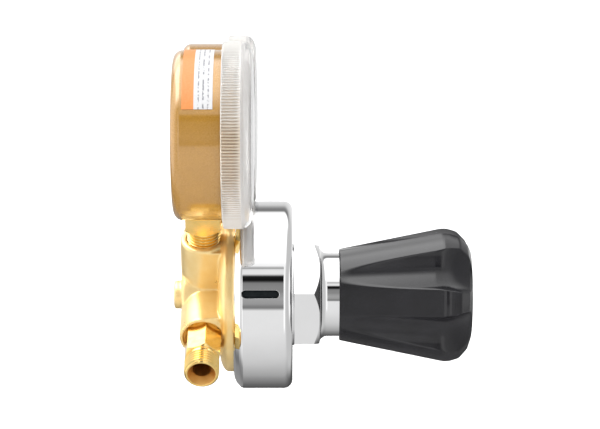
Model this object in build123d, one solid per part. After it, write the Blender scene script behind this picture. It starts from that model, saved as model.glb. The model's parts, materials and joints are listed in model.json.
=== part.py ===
from build123d import *
import math
import os

# Gas regulator with two pressure gauges, an adjusting knob and two hose unions.
#
# Frame: millimetres. The origin is the centre of the flat rear boss of the brass body, on the adjusting
# axis. +X runs along the adjusting axis from the body through the bonnet to the knob, +Z is up towards
# the gauges. The outlet and the outlet-pressure gauge are on the -Y side, the inlet and the
# inlet-pressure gauge on the +Y side.

os.makedirs("parts", exist_ok=True)

# ---------------------------------------------------------------- driving dimensions
PORT_X = 12.0            # all four ports lie in one plane across the axis
GAUGE_SPLAY = 30.0       # gauge ports, degrees from straight up
UNION_ANGLE = 120.0      # inlet and outlet ports, degrees from straight up
GAUGE_DIST = 74.5        # adjusting axis to gauge centre

# forged body
REAR_BOSS_R, REAR_BOSS_L = 5.5, 3.2
HUB_R = 13.0
BOSS_R, BOSS_END = 9.0, 27.4
BOSS_EDGE = 0.9           # rounded rim of each port boss
UNION_WELL_R, UNION_WELL_Z = 7.7, 25.6   # recess in the lower bosses that the union hexagon sits in
FLANGE_R, FLANGE_X0, FLANGE_X1 = 29.85, 17.7, 23.9
DOME_X, DOME_R0 = 21.2, 21.5   # the flange's back is domed from this radius out to the rim
BODY_THREAD_R, BODY_FRONT = 30.6, 33.4
LP_R, LP_FLOOR = 24.0, 28.0
VALVE_BORE_R, VALVE_BORE_X = 8.0, 6.5
PORT_BORE_R, PORT_BORE_END = 6.65, 16.0

# bonnet
BON_X0, BON_X1, BON_R = 23.4, 45.8, 36.25
BON_BORE_R, BON_SHOULDER = 30.65, 36.0
CHAMBER_R, CHAMBER_X1 = 24.5, 43.0
COLLAR_R, COLLAR_X1 = 19.6, 46.8
HEX_AF, HEX_X1 = 38.1, 56.2
NECK_R, NECK_X1 = 16.1, 98.0
NECK_BORE_R, NECK_WALL_X = 13.0, 93.0
BONNET_CLOCK = 7.7       # vent slot and hex corner above the horizontal
SLOT_X0, SLOT_X1, SLOT_R = 26.9, 40.8, 1.42

# adjusting screw and knob
SCREW_R, SCREW_HOLE_R = 5.95, 6.0
SCREW_TIP = 87.0
KNOB_X0, KNOB_X1 = 63.8, 115.2
KNOB_R0, KNOB_R1, KNOB_X_WIDE = 17.8, 26.5, 105.2
KNOB_BORE_R, KNOB_FLOOR = 16.7, 105.0
N_FLUTES, FLUTE_R = 6, 12.0
CAP_R = 10.5

# diaphragm stack
DIA_T = 1.6
RING_T = 1.0

# unions (G 1/4 male, 60 degree seat)
UNION_R, UNION_END = 6.58, 48.7
UNION_HEX_AF = 12.7
UNION_BORE_R = 3.45

# gauges, 63 mm
CASE_R, CASE_T, CASE_X0, CASE_X1 = 31.5, 0.7, 1.9, 25.0
LENS_R, LENS_X0, LENS_X1, LENS_WALL = 34.75, 20.2, 31.2, 2.2
DIAL_X, DIAL_T, DIAL_R = 22.0, 0.6, 29.5


# ---------------------------------------------------------------- helpers
def poly_face(pts):
    return make_face(Polyline(*[(x, y, 0) for x, y in pts], close=True))


def turned(pts):
    """A body of revolution about the X axis, from points (x, r)."""
    return revolve(poly_face(pts), axis=Axis.X, revolution_arc=360)


def arc_pts(cx, cy, r, a0, a1, n=10):
    return [(cx + r * math.cos(math.radians(a0 + (a1 - a0) * i / n)),
             cy + r * math.sin(math.radians(a0 + (a1 - a0) * i / n))) for i in range(n + 1)]


def cyl_x(x0, x1, r, y=0.0, z=0.0):
    return Pos((x0 + x1) / 2, y, z) * Rot(0, 90, 0) * Cylinder(r, x1 - x0)


def cyl_z(z0, z1, r, x=0.0, y=0.0):
    return Pos(x, y, (z0 + z1) / 2) * Cylinder(r, z1 - z0)


def box(x0, x1, y0, y1, z0, z1):
    return Pos((x0 + x1) / 2, (y0 + y1) / 2, (z0 + z1) / 2) * Box(x1 - x0, y1 - y0, z1 - z0)


def hex_x(x0, x1, af, angle=0.0):
    """Hexagonal bar along X with a corner at the given angle above the -Y direction."""
    bar = Cylinder(1, 1)
    rc = af / math.sqrt(3)
    pts = [(rc * math.cos(math.radians(60 * i)), rc * math.sin(math.radians(60 * i))) for i in range(6)]
    bar = extrude(make_face(Polyline(*[(a, b, 0) for a, b in pts], close=True)), amount=x1 - x0)
    # local x -> -Y, local y -> Z, local z -> X
    bar = Rot(0, 90, 0) * bar            # z -> x, x -> -z, y -> y
    bar = Rot(-90, 0, 0) * bar           # -z -> -y
    return Pos(x0, 0, 0) * Rot(-angle, 0, 0) * bar


def port(phi):
    """Frame of a port: local +Z points out along the port axis."""
    return Pos(PORT_X, 0, 0) * Rot(phi, 0, 0)


def one(shape):
    s = shape.solids()
    return s[0] if len(s) == 1 else Compound(children=list(s))


def write(name, shape):
    s = one(shape)
    export_step(s, f"parts/{name}.step")
    return s


PORTS_UP = {"outlet": GAUGE_SPLAY, "inlet": -GAUGE_SPLAY}
PORTS_DOWN = {"outlet": UNION_ANGLE, "inlet": -UNION_ANGLE}

# ---------------------------------------------------------------- forged body
outline = [(0, 0), (0, REAR_BOSS_R - 0.5), (0.5, REAR_BOSS_R), (REAR_BOSS_L, REAR_BOSS_R), (REAR_BOSS_L, HUB_R - 1.0),
           (REAR_BOSS_L + 1.0, HUB_R), (FLANGE_X0, HUB_R)]
outline += [(FLANGE_X0, DOME_R0)]
outline += [(DOME_X - (DOME_X - FLANGE_X0) * math.cos(math.radians(9 * i)), DOME_R0 + (FLANGE_R - DOME_R0) * math.sin(math.radians(9 * i)))
            for i in range(1, 11)]
outline += [(FLANGE_X1, FLANGE_R), (FLANGE_X1, BODY_THREAD_R), (BODY_FRONT - 0.5, BODY_THREAD_R),
            (BODY_FRONT, BODY_THREAD_R - 0.5), (BODY_FRONT, 0)]
body = turned(outline)
for phi in (*PORTS_UP.values(), *PORTS_DOWN.values()):
    boss = revolve(make_face(Polyline(*([(0, 0, 0), (BOSS_R, 0, 0)] + [(a, 0, b) for a, b in arc_pts(
        BOSS_R - BOSS_EDGE, BOSS_END - BOSS_EDGE, BOSS_EDGE, 0, 90, 5)] + [(0, 0, BOSS_END)]), close=True)),
        axis=Axis.Z, revolution_arc=360)
    boss += box(0, 7.2, -BOSS_R + 0.001, BOSS_R - 0.001, 0, BOSS_END - BOSS_EDGE)
    body += port(phi) * boss
# bores
body -= cyl_x(LP_FLOOR, BODY_FRONT + 1, LP_R)
body -= cyl_x(VALVE_BORE_X, LP_FLOOR + 1, VALVE_BORE_R)
for phi in (*PORTS_UP.values(), *PORTS_DOWN.values()):
    body -= port(phi) * cyl_z(PORT_BORE_END, BOSS_END + 6, PORT_BORE_R)
for phi in PORTS_DOWN.values():
    body -= port(phi) * cyl_z(UNION_WELL_Z, BOSS_END + 8, UNION_WELL_R)
body -= port(PORTS_DOWN["inlet"]) * cyl_z(4, PORT_BORE_END + 1, 2.5)       # high pressure into the valve chamber
body -= port(PORTS_UP["inlet"]) * cyl_z(4, PORT_BORE_END + 1, 1.2)         # and to the inlet gauge
body -= port(PORTS_UP["outlet"]) * cyl_x(0, LP_FLOOR - PORT_X + 1, 1.2, z=20.0)   # low pressure to the outlet gauge
body -= port(PORTS_DOWN["outlet"]) * cyl_x(0, LP_FLOOR - PORT_X + 1, 2.0, z=20.0)  # and to the outlet
write("body", body)

# ---------------------------------------------------------------- bonnet
neck_round = 2.4
b_out = [(BON_X0, BON_BORE_R), (BON_X0, 32.0)]
b_out += [(23.75, 33.0), (24.6, 34.4), (25.6, 35.5), (26.6, BON_R)]
b_out += arc_pts(BON_X1 - 3.4, BON_R - 3.4, 3.4, 90, 0)
b_out += [(BON_X1, COLLAR_R), (COLLAR_X1, COLLAR_R), (COLLAR_X1, 18.0), (HEX_X1, 18.0)]
b_out += arc_pts(HEX_X1 + 0.4 + neck_round, NECK_R + neck_round, neck_round, 180, 270)
b_out += [(NECK_X1 - 0.8, NECK_R), (NECK_X1, NECK_R - 0.8), (NECK_X1, SCREW_HOLE_R), (NECK_WALL_X, SCREW_HOLE_R),
          (NECK_WALL_X, NECK_BORE_R), (CHAMBER_X1, NECK_BORE_R), (CHAMBER_X1, CHAMBER_R),
          (BON_SHOULDER, CHAMBER_R), (BON_SHOULDER, BON_BORE_R)]
bonnet = turned(b_out)
hex_part = hex_x(COLLAR_X1, HEX_X1, HEX_AF, BONNET_CLOCK)
rc = HEX_AF / math.sqrt(3)
hex_turn = turned([(COLLAR_X1 - 1, 0), (COLLAR_X1 - 1, rc + 1), (HEX_X1 - 2.0, rc + 1), (HEX_X1 - 2.0, rc - 0.25),
                   (HEX_X1, HEX_AF / 2 - 0.35), (HEX_X1, 0)])
hex_part = (hex_part & hex_turn) - cyl_x(COLLAR_X1 - 1, HEX_X1 + 1, NECK_BORE_R + 1.5)
bonnet += hex_part


def vent_slot():
    s = Pos(SLOT_X0 + SLOT_R, 0, 0) * Cylinder(SLOT_R, 4.3) + Pos(SLOT_X1 - SLOT_R, 0, 0) * Cylinder(SLOT_R, 4.3)
    s += Pos((SLOT_X0 + SLOT_X1) / 2, 0, 0) * Box(SLOT_X1 - SLOT_X0 - 2 * SLOT_R, 2 * SLOT_R, 4.3)
    s = Pos(0, 0, 34.0) * s
    s += cyl_z(20, 34, 1.3, x=38.6)     # opens into the spring chamber
    return s


for turn in (0, 180):
    bonnet -= Rot(90 - BONNET_CLOCK + turn, 0, 0) * vent_slot()
write("bonnet", bonnet)

# ---------------------------------------------------------------- diaphragm stack
d0 = BODY_FRONT
write("diaphragm", cyl_x(d0, d0 + DIA_T, BON_BORE_R - 0.1) - cyl_x(d0 - 1, d0 + 3, 3.0))
write("slip_ring", cyl_x(d0 + DIA_T, BON_SHOULDER, BON_BORE_R - 0.1) - cyl_x(d0, BON_SHOULDER + 1, CHAMBER_R))
plate = turned([(32.0, 0), (32.0, 2.95), (35.0, 2.95), (35.0, 22.0), (35.8, 22.8), (36.6, 22.0), (37.6, 13.0), (39.0, 12.2),
                (39.0, 7.9), (42.5, 7.4), (42.5, 3.0), (40.0, 2.0), (40.0, 0)])
write("diaphragm_plate", plate)
write("diaphragm_button", turned([(31.2, 0), (31.2, 6.6), (31.6, 7.6), (33.35, 8.0), (33.35, 3.0), (31.95, 3.0), (31.95, 0)]))

# ---------------------------------------------------------------- springs


def coil(x0, x1, mean_r, wire_r, turns):
    """Compression spring along X with ends ground flat."""
    ext = wire_r * 0.9
    height = (x1 - x0) - 2 * wire_r + 2 * ext
    path = Helix(pitch=height / turns, height=height, radius=mean_r)
    prof = Plane(origin=path @ 0, z_dir=path % 0) * Circle(wire_r)
    s = sweep(prof, path=path, is_frenet=True)
    s = Rot(0, 90, 0) * s
    s = Pos(x0 + wire_r - ext, 0, 0) * s
    r = mean_r + 3 * wire_r
    return s & box(x0, x1, -r, r, -r, r)


write("adjusting_spring", coil(39.02, 83.98, 10.2, 1.75, 7.5))
write("valve_spring", coil(VALVE_BORE_X + 0.02, 10.48, 3.5, 0.4, 4.0))

# ---------------------------------------------------------------- spring button, adjusting screw, knob
write("spring_button", turned([(80.5, 0), (80.5, 7.4), (81.2, 7.9), (84.0, 7.9), (84.0, 12.2), (86.2, 12.2),
                               (SCREW_TIP, 11.4), (SCREW_TIP, 0)]))
screw = turned([(SCREW_TIP, 0), (SCREW_TIP, 3.2), (SCREW_TIP + 1.6, 5.2), (SCREW_TIP + 2.4, SCREW_R), (107.0, SCREW_R),
                (107.0, 0)])
screw += hex_x(107.0, 111.8, 15.0, 0)
write("adjusting_screw", screw)

k_out = [(KNOB_X0, KNOB_BORE_R), (KNOB_X0, KNOB_R0 - 0.3), (KNOB_X0 + 0.3, KNOB_R0), (KNOB_X_WIDE - 0.6, KNOB_R1 - 0.12),
         (KNOB_X_WIDE + 0.6, KNOB_R1 + 0.02), (107.2, KNOB_R1 - 0.25), (109.6, 25.35), (111.8, 23.5), (113.4, 21.2),
         (114.4, 18.8), (114.9, 16.2), (115.1, 13.5), (115.2, CAP_R + 0.6), (115.0, CAP_R + 0.1),
         (112.0, CAP_R + 0.1), (112.0, SCREW_HOLE_R), (KNOB_FLOOR, SCREW_HOLE_R), (KNOB_FLOOR, KNOB_BORE_R)]
knob = turned(k_out)
knob -= hex_x(107.0, 112.5, 15.1, 0)
f_tilt = math.degrees(math.atan(0.103))
flute = Rot(0, 90, 0) * Cylinder(FLUTE_R, 90)
flute = Pos(64.6, 0, FLUTE_R + 17.75) * Rot(0, -f_tilt, 0) * Pos(45 - 14, 0, 0) * flute
for i in range(N_FLUTES):
    knob -= Rot(60 * i, 0, 0) * flute
write("adjusting_knob", knob)
write("knob_cap", turned([(112.0, 0), (112.0, CAP_R), (114.7, CAP_R), (115.0, CAP_R - 0.5), (115.2, 5.0), (115.25, 0)]))

# ---------------------------------------------------------------- valve
nozzle = turned([(17.4, 1.3), (17.0, 1.5), (17.0, 2.3), (17.6, 2.9), (17.6, 7.3), (18.2, 7.95), (LP_FLOOR, 7.95),
                 (LP_FLOOR, 10.2), (29.2, 10.2), (29.6, 9.8), (29.6, 3.0), (27.0, 2.4), (20.5, 2.4), (19.5, 1.3)])
for i in range(4):                     # key slots in the nozzle head
    nozzle -= Rot(90 * i, 0, 0) * box(28.6, 30.5, -1.3, 1.3, 7.6, 11)
write("valve_nozzle", nozzle)
write("valve_seat", cyl_x(14.6, 17.0, 3.6) - cyl_x(14, 18, 0.95))
stem = turned([(8.0, 0), (8.0, 2.4), (8.6, 2.9), (10.5, 2.9), (10.5, 5.2), (16.2, 5.2), (16.2, 3.62), (14.6, 3.62),
               (14.6, 0.93), (31.0, 0.93), (31.2, 0.7), (31.2, 0)])
for i in range(4):                     # gas passes the skirt of the poppet
    stem -= Rot(45 + 90 * i, 0, 0) * box(10.0, 16.8, -1.0, 1.0, 4.2, 7)
write("valve_stem", stem)

# ---------------------------------------------------------------- unions


def union_body():
    u = cyl_z(17.4, UNION_WELL_Z + 0.2, 6.6)
    rc_u = UNION_HEX_AF / math.sqrt(3)
    hexa = extrude(make_face(Polyline(*[(rc_u * math.cos(math.radians(60 * i + 80)), rc_u * math.sin(math.radians(60 * i + 80)), 0)
                                         for i in range(6)], close=True)), amount=39.5 - UNION_WELL_Z - 0.1)
    hexa = Pos(0, 0, UNION_WELL_Z + 0.1) * hexa
    trim = revolve(make_face(Polyline((0, 0, UNION_WELL_Z), (7.34, 0, UNION_WELL_Z), (7.34, 0, 38.7), (6.5, 0, 39.5), (0, 0, 39.5),
                                      close=True)), axis=Axis.Z, revolution_arc=360)
    u += hexa & trim
    u += cyl_z(39.5, 40.9, 5.9)                                    # undercut behind the thread
    thread = revolve(make_face(Polyline((0, 0, 40.9), (UNION_R, 0, 40.9), (UNION_R, 0, UNION_END - 0.8),
                                        (UNION_R - 0.8, 0, UNION_END), (0, 0, UNION_END), close=True)),
                     axis=Axis.Z, revolution_arc=360)
    return u + thread


seat_depth = (5.05 - UNION_BORE_R) / math.tan(math.radians(30))
cone = revolve(make_face(Polyline((0, 0, UNION_END - seat_depth), (UNION_BORE_R, 0, UNION_END - seat_depth), (5.05, 0, UNION_END),
                                  (5.05, 0, UNION_END + 1), (0, 0, UNION_END + 1), close=True)), axis=Axis.Z, revolution_arc=360)
outlet = union_body() - cyl_z(17, UNION_END, UNION_BORE_R) - cone
write("outlet_union", port(PORTS_DOWN["outlet"]) * outlet)
inlet = union_body() - cyl_z(38.0, UNION_END, UNION_BORE_R) - cyl_z(30.0, 38.5, 3.1) - cyl_z(17, 31, 2.2) - cone
write("inlet_union", port(PORTS_DOWN["inlet"]) * inlet)
write("inlet_filter", port(PORTS_DOWN["inlet"]) * (cyl_z(30.0, 37.8, 3.08) - cyl_z(29, 35.5, 1.5)))

# ---------------------------------------------------------------- gauge
M, Z_PIN, Z_SEC = 0.3, 10, 90          # movement: module and tooth counts, 9 to 1


def gear_pts(z, m, add, ded, thin, start=0, stop=None, phase=0.0, backlash_r=0.0):
    """Involute-like tooth outline as polar points, teeth start..stop, with thinned teeth."""
    rp = z * m / 2
    rb = rp * math.cos(math.radians(20))
    ra, rf = rp + add * m, rp - ded * m
    half = math.pi / (2 * z) - thin / (2 * rp)
    inv = lambda a: math.tan(a) - a
    inv20 = inv(math.radians(20))
    pts = []
    stop = z if stop is None else stop
    for i in range(start, stop):
        c = 2 * math.pi * i / z + phase
        flank = []
        for k in range(6):
            r = max(rf, rb) + (ra - max(rf, rb)) * k / 5
            a = half + inv20 - inv(math.acos(min(1.0, rb / r)))
            flank.append((r, a))
        if rf < rb:
            flank.insert(0, (rf, flank[0][1]))
        for r, a in flank:
            pts.append((r, c - a))
        for r, a in reversed(flank):
            pts.append((r, c + a))
    return pts


def to_yz_face(points_yz):
    """A face in the YZ plane at x = 0, extruded along +X by the caller."""
    return make_face(Polyline(*[(0, y, z) for y, z in points_yz], close=True))


def slab(points_yz, x0, x1):
    return Pos(x0, 0, 0) * extrude(to_yz_face(points_yz), amount=x1 - x0, dir=(1, 0, 0))


def polar(r, deg):
    return (r * math.cos(math.radians(deg)), r * math.sin(math.radians(deg)))


SEC_PIVOT_Z = -(Z_PIN + Z_SEC) * M / 2          # -15


def gauge_parts(side, dial_tilt):
    """Parts of one gauge in its own frame: axis along X, stem towards -Z. dial_tilt turns dial and pointer upright again."""
    p = {}
    inner = CASE_R - CASE_T
    # steel case: drawn cup
    c_out = [(CASE_X0, 0)] + [(CASE_X0 + 3.5 - a, b) for a, b in
                              [(3.5 * math.cos(t), CASE_R - 3.5 + 3.5 * math.sin(t)) for t in
                               [math.radians(9 * i) for i in range(11)]]]
    c_out += [(CASE_X1, CASE_R), (CASE_X1, inner)]
    c_out += [(CASE_X0 + 3.5 - a, b) for a, b in
              [(2.8 * math.cos(t), CASE_R - 3.5 + 2.8 * math.sin(t)) for t in
               [math.radians(90 - 9 * i) for i in range(11)]]]
    c_out += [(CASE_X0 + CASE_T, 0)]
    case = turned(c_out)
    case -= cyl_z(-35, -25, 6.65, x=PORT_X)
    for y in (-4.2, 4.2):
        case -= cyl_x(0, 4, 1.6, y=y, z=-24.5)
    p["case"] = case
    # socket: block inside the case, square for the spanner, threaded stub
    block = box(CASE_X0 + CASE_T, 17.0, -6.5, 6.5, -30.4, -18.5)
    cav_r = 2.7
    block &= turned([(CASE_X0 + CASE_T, 0)] + arc_pts(CASE_X0 + 3.5, CASE_R - 3.5, cav_r, 180, 90) + [(30, CASE_R - 3.5 + cav_r), (30, 0)])
    s = block + cyl_z(-33, -29, 6.4, x=PORT_X)
    sq = box(PORT_X - 6.6, PORT_X + 6.6, -6.6, 6.6, -41.7, -32.4)
    trim = revolve(make_face(Polyline((0, 0, -41.7), (6.7, 0, -41.7), (7.9, 0, -40.6), (7.9, 0, -33.2), (7.2, 0, -32.4), (0, 0, -32.4),
                                      close=True)), axis=Axis.Z, revolution_arc=360)
    s += sq & (Pos(PORT_X, 0, 0) * trim)
    s += cyl_z(-56.0, -41.6, 6.6, x=PORT_X)
    s -= cyl_z(-57, -20.4, 1.4, x=PORT_X)
    for y in (-4.2, 4.2):
        s -= cyl_x(0, 8.2, 1.25, y=y, z=-24.5)
    s -= cyl_x(14.0, 18, 1.0, z=-27.0)              # movement screw hole
    s -= cyl_x(14.0, 18, 1.0, z=-20.5)
    socket = s
    # case screws, one group
    scr = None
    for y in (-4.2, 4.2):
        one_s = cyl_x(CASE_X0, 8.0, 1.23, y=y, z=-24.5) + (cyl_x(CASE_X0 - 1.3, CASE_X0, 2.6, y=y, z=-24.5)
                                                         - box(CASE_X0 - 2, CASE_X0 - 0.6, y - 3, y + 3, -24.9, -24.1))
        scr = one_s if scr is None else scr + one_s
    p["case_screws"] = scr
    # bourdon tube: flattened tube wound in a C
    t_r, t_x = 21.6, 10.5
    outer = Pos(t_x, t_r, 0) * Ellipse(4.2, 1.5)
    bore = Pos(t_x, t_r, 0) * Ellipse(3.7, 1.0)
    start, sweep_deg = -78.0, 288.8
    ring = revolve(make_face(outer.wire()) - make_face(bore.wire()), axis=Axis.X, revolution_arc=sweep_deg - 4)
    tip = Rot(sweep_deg - 4, 0, 0) * revolve(make_face(outer.wire()), axis=Axis.X, revolution_arc=4)
    tube = Rot(start, 0, 0) * (ring + tip)
    socket -= Rot(start, 0, 0) * revolve(make_face(outer.wire()), axis=Axis.X, revolution_arc=20)
    p["socket"] = socket - (Pos(t_x, 2.4, -21.2) * Rot(90, 0, 0) * Cylinder(0.8, 4.8))
    end = Rot(start + sweep_deg - 2, 0, 0) * box(t_x + 3.0, 17.8, t_r - 1.3, t_r + 1.3, -1.2, 1.2)
    p["bourdon_tube"] = tube + end
    # movement: two plates on pillars
    back = box(17.0, 17.7, -6.0, 6.0, -28.6, 4.5)
    front = box(20.7, 21.4, -6.0, 6.0, -20.0, 4.5)
    pillars = None
    frame = back + front
    for y, z in ((-4.6, 2.8), (4.6, 2.8), (4.6, -18.6)):
        frame += cyl_x(17.3, 21.0, 0.9, y=y, z=z)
    for z in (0.0, SEC_PIVOT_Z):
        frame -= cyl_x(16, 23, 0.78, z=z)
    for z in (-27.0, -20.5):
        frame -= cyl_x(16, 18, 1.05, z=z)
    for y in (-3.2, 3.2):
        frame -= cyl_x(20, 22, 0.62, y=y, z=-9.0)
    p["movement_frame"] = frame
    mscr = None
    for z in (-27.0, -20.5):
        o = cyl_x(14.1, 17.7, 0.97, z=z) + (cyl_x(17.7, 18.7, 1.7, z=z) - box(18.25, 19.5, -2.2, 2.2, z - 0.25, z + 0.25))
        mscr = o if mscr is None else mscr + o
    p["movement_screws"] = mscr
    # pinion arbor
    pin_pts = [(r * math.cos(a), r * math.sin(a)) for r, a in gear_pts(Z_PIN, M, 0.9, 1.15, 0.09, phase=-math.pi / 2 + math.pi / Z_PIN)]
    arbor = cyl_x(17.0, 25.4, 0.72) + slab(pin_pts, 18.3, 20.3)
    p["pinion_arbor"] = arbor
    # sector: teeth on an arc about its own pivot, tail to the left
    tooth = 2 * math.pi / Z_SEC
    raw = gear_pts(Z_SEC, M, 0.9, 1.15, 0.09, start=-9, stop=3, phase=math.pi / 2)
    arc_part = [(r * math.cos(a), SEC_PIVOT_Z + r * math.sin(a)) for r, a in raw]
    a_lo = math.pi / 2 - 9.9 * tooth
    a_hi = math.pi / 2 + 2.9 * tooth
    rim = 11.6
    low = [(rim * math.cos(a_hi - (a_hi - a_lo) * i / 10), SEC_PIVOT_Z + rim * math.sin(a_hi - (a_hi - a_lo) * i / 10)) for i in range(11)]
    rf = Z_SEC * M / 2 - 1.15 * M
    edge_hi = (rf * math.cos(a_hi), SEC_PIVOT_Z + rf * math.sin(a_hi))
    edge_lo = (rf * math.cos(a_lo), SEC_PIVOT_Z + rf * math.sin(a_lo))
    sec = slab(arc_part + [edge_hi] + low + [edge_lo], 18.6, 20.0)
    mid = (a_lo + a_hi) / 2
    for a in (a_lo + 0.09, a_hi - 0.09):
        c_, s_ = math.cos(a), math.sin(a)
        arm = [(0.9 * -s_, SEC_PIVOT_Z + 0.9 * c_), (0.9 * s_, SEC_PIVOT_Z - 0.9 * c_),
               (12.2 * c_ + 0.7 * s_, SEC_PIVOT_Z + 12.2 * s_ - 0.7 * c_), (12.2 * c_ - 0.7 * s_, SEC_PIVOT_Z + 12.2 * s_ + 0.7 * c_)]
        sec += slab(arm, 18.6, 20.0)
    sec += slab([(0, SEC_PIVOT_Z + 1.0), (-8.0, SEC_PIVOT_Z + 0.9), (-8.0, SEC_PIVOT_Z - 0.9), (0, SEC_PIVOT_Z - 1.0)], 18.6, 20.0)
    sec += cyl_x(18.2, 20.4, 1.7, z=SEC_PIVOT_Z)
    sec += cyl_x(17.05, 21.35, 0.72, z=SEC_PIVOT_Z)
    sec -= cyl_x(18, 21, 0.45, y=-7.2, z=SEC_PIVOT_Z)
    p["sector"] = sec
    # link from the sector tail towards the tube tip
    ty, tz = polar(t_r, start + sweep_deg - 2)
    ly, lz = -7.2, SEC_PIVOT_Z
    dy, dz = ty - ly, tz - lz
    L = math.hypot(dy, dz)
    uy, uz = dy / L, dz / L
    link = slab([(ly - 1.0 * uy - 0.8 * uz, lz - 1.0 * uz + 0.8 * uy), (ly - 1.0 * uy + 0.8 * uz, lz - 1.0 * uz - 0.8 * uy),
                 (ty + 1.0 * uy + 0.8 * uz, tz + 1.0 * uz - 0.8 * uy), (ty + 1.0 * uy - 0.8 * uz, tz + 1.0 * uz + 0.8 * uy)], 17.95, 18.5)
    link += cyl_x(18.4, 20.3, 0.42, y=ly, z=lz)
    p["link"] = link
    # dial, its screws, pointer
    dial = cyl_x(DIAL_X, DIAL_X + DIAL_T, DIAL_R) - cyl_x(20, 24, 2.2)
    for y in (-3.2, 3.2):
        dial -= cyl_x(21, 24, 0.7, y=y, z=-9.0)
    p["dial"] = dial
    dscr = None
    for y in (-3.2, 3.2):
        o = cyl_x(20.75, DIAL_X + DIAL_T, 0.6, y=y, z=-9.0) + cyl_x(DIAL_X + DIAL_T, DIAL_X + DIAL_T + 0.5, 1.2, y=y, z=-9.0)
        o -= box(DIAL_X + DIAL_T + 0.25, DIAL_X + 2, y - 2, y + 2, -9.2, -8.8)
        dscr = o if dscr is None else dscr + o
    p["dial_screws"] = dscr
    # pointer at the zero mark, 135 degrees left of up once the dial is upright
    hub = turned([(23.6, 0), (23.6, 2.3), (24.9, 2.3), (25.4, 1.6), (25.4, 0)]) - cyl_x(23, 26, 0.725)
    za = 225.0
    c_, s_ = math.cos(math.radians(za)), math.sin(math.radians(za))

    def at(l, w):
        return (l * c_ - w * s_, l * s_ + w * c_)
    blade = slab([at(-8.0, -1.5), at(-8.0, 1.5), at(-3.0, 0.8), at(2.0, 1.1), at(23.5, 0.25), at(24.5, 0), at(23.5, -0.25),
                  at(2.0, -1.1), at(-3.0, -0.8)], 23.9, 24.3) - cyl_x(23, 26, 0.725)
    # dial_tilt brings the pointer back upright
    p["pointer"] = Rot(dial_tilt, 0, 0) * (hub + blade)
    # clear screw-on lens and its gasket
    p["lens_gasket"] = cyl_x(CASE_X1, CASE_X1 + 0.9, CASE_R - 0.05) - cyl_x(CASE_X1 - 1, CASE_X1 + 2, 29.9)
    l_pts = [(LENS_X0, CASE_R + 0.12), (LENS_X0, LENS_R - 0.4), (LENS_X0 + 0.4, LENS_R), (27.3, LENS_R), (28.4, 34.4), (29.4, 33.6),
             (30.2, 32.5), (30.8, 31.2), (31.1, 30.0), (LENS_X1, 28.8), (LENS_X1 + 0.5, 15.0), (LENS_X1 + 0.65, 0),
             (LENS_X1 + 0.65 - LENS_WALL, 0), (LENS_X1 + 0.5 - LENS_WALL, 15.0), (LENS_X1 - LENS_WALL, 28.6), (28.4, 29.7),
             (CASE_X1 + 0.9, 29.9), (CASE_X1 + 0.9, CASE_R + 0.12)]
    p["lens"] = turned(l_pts)
    return p


for side, phi in PORTS_UP.items():
    place = Rot(phi, 0, 0) * Pos(0, 0, GAUGE_DIST)
    for name, shape in gauge_parts(side, -phi).items():
        write(f"{side}_gauge_{name}", place * shape)

# label on the case of the outlet gauge: a thin sticker round the case
cy, cz = -GAUGE_DIST * math.sin(math.radians(GAUGE_SPLAY)), GAUGE_DIST * math.cos(math.radians(GAUGE_SPLAY))
lab = revolve(poly_face([(6.2, CASE_R + 0.01), (17.3, CASE_R + 0.01), (17.3, CASE_R + 0.16), (6.2, CASE_R + 0.16)]),
              axis=Axis.X, revolution_arc=86)
write("gauge_label", Pos(0, cy, cz) * Rot(73, 0, 0) * lab)
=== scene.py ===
import bpy
import json
import math
import random
import numpy as np
from mathutils import Vector, Matrix


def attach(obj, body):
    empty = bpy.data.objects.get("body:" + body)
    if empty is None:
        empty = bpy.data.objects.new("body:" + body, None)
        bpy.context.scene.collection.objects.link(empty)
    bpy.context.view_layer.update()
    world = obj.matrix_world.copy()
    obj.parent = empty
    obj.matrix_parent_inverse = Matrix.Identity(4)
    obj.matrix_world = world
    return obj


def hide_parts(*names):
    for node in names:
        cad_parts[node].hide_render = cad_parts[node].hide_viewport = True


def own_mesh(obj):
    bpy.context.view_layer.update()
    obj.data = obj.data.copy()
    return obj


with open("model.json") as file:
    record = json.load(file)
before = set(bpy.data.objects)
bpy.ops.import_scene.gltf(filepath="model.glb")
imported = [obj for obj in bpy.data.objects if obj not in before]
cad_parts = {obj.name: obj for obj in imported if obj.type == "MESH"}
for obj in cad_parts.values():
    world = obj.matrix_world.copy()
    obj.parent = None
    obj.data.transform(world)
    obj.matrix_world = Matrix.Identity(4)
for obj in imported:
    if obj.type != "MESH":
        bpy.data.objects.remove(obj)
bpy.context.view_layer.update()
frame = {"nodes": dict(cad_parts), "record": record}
rng = np.random.default_rng(7)
MM = 0.001

# ------------------------------------------------------------------ sizes (mm, row frame)
PORT_X = 12.0
GAUGE_DIST = 74.5
SPLAY = {"outlet": 30.0, "inlet": -30.0}
UNION = {"outlet": 120.0, "inlet": -120.0}
CASE_R, CASE_X0, CASE_X1 = 31.5, 1.9, 25.0
LENS_R, LENS_X0, LENS_X1 = 34.75, 20.2, 31.2
BON_X0, BON_X1, BON_R = 23.4, 45.8, 36.25
KNOB_X0, KNOB_X1, KNOB_XW, KNOB_R0, KNOB_R1 = 63.8, 115.2, 105.2, 17.8, 26.5


# ------------------------------------------------------------------ mesh helpers
def mesh_object(name, verts, faces, smooth=True):
    """verts in millimetres, row frame."""
    me = bpy.data.meshes.new(name)
    me.from_pydata([tuple(v) for v in np.asarray(verts, float) * MM], [], faces)
    me.validate()
    me.polygons.foreach_set("use_smooth", [smooth] * len(me.polygons))
    me.update()
    o = bpy.data.objects.new(name, me)
    bpy.context.collection.objects.link(o)
    return o


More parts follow.
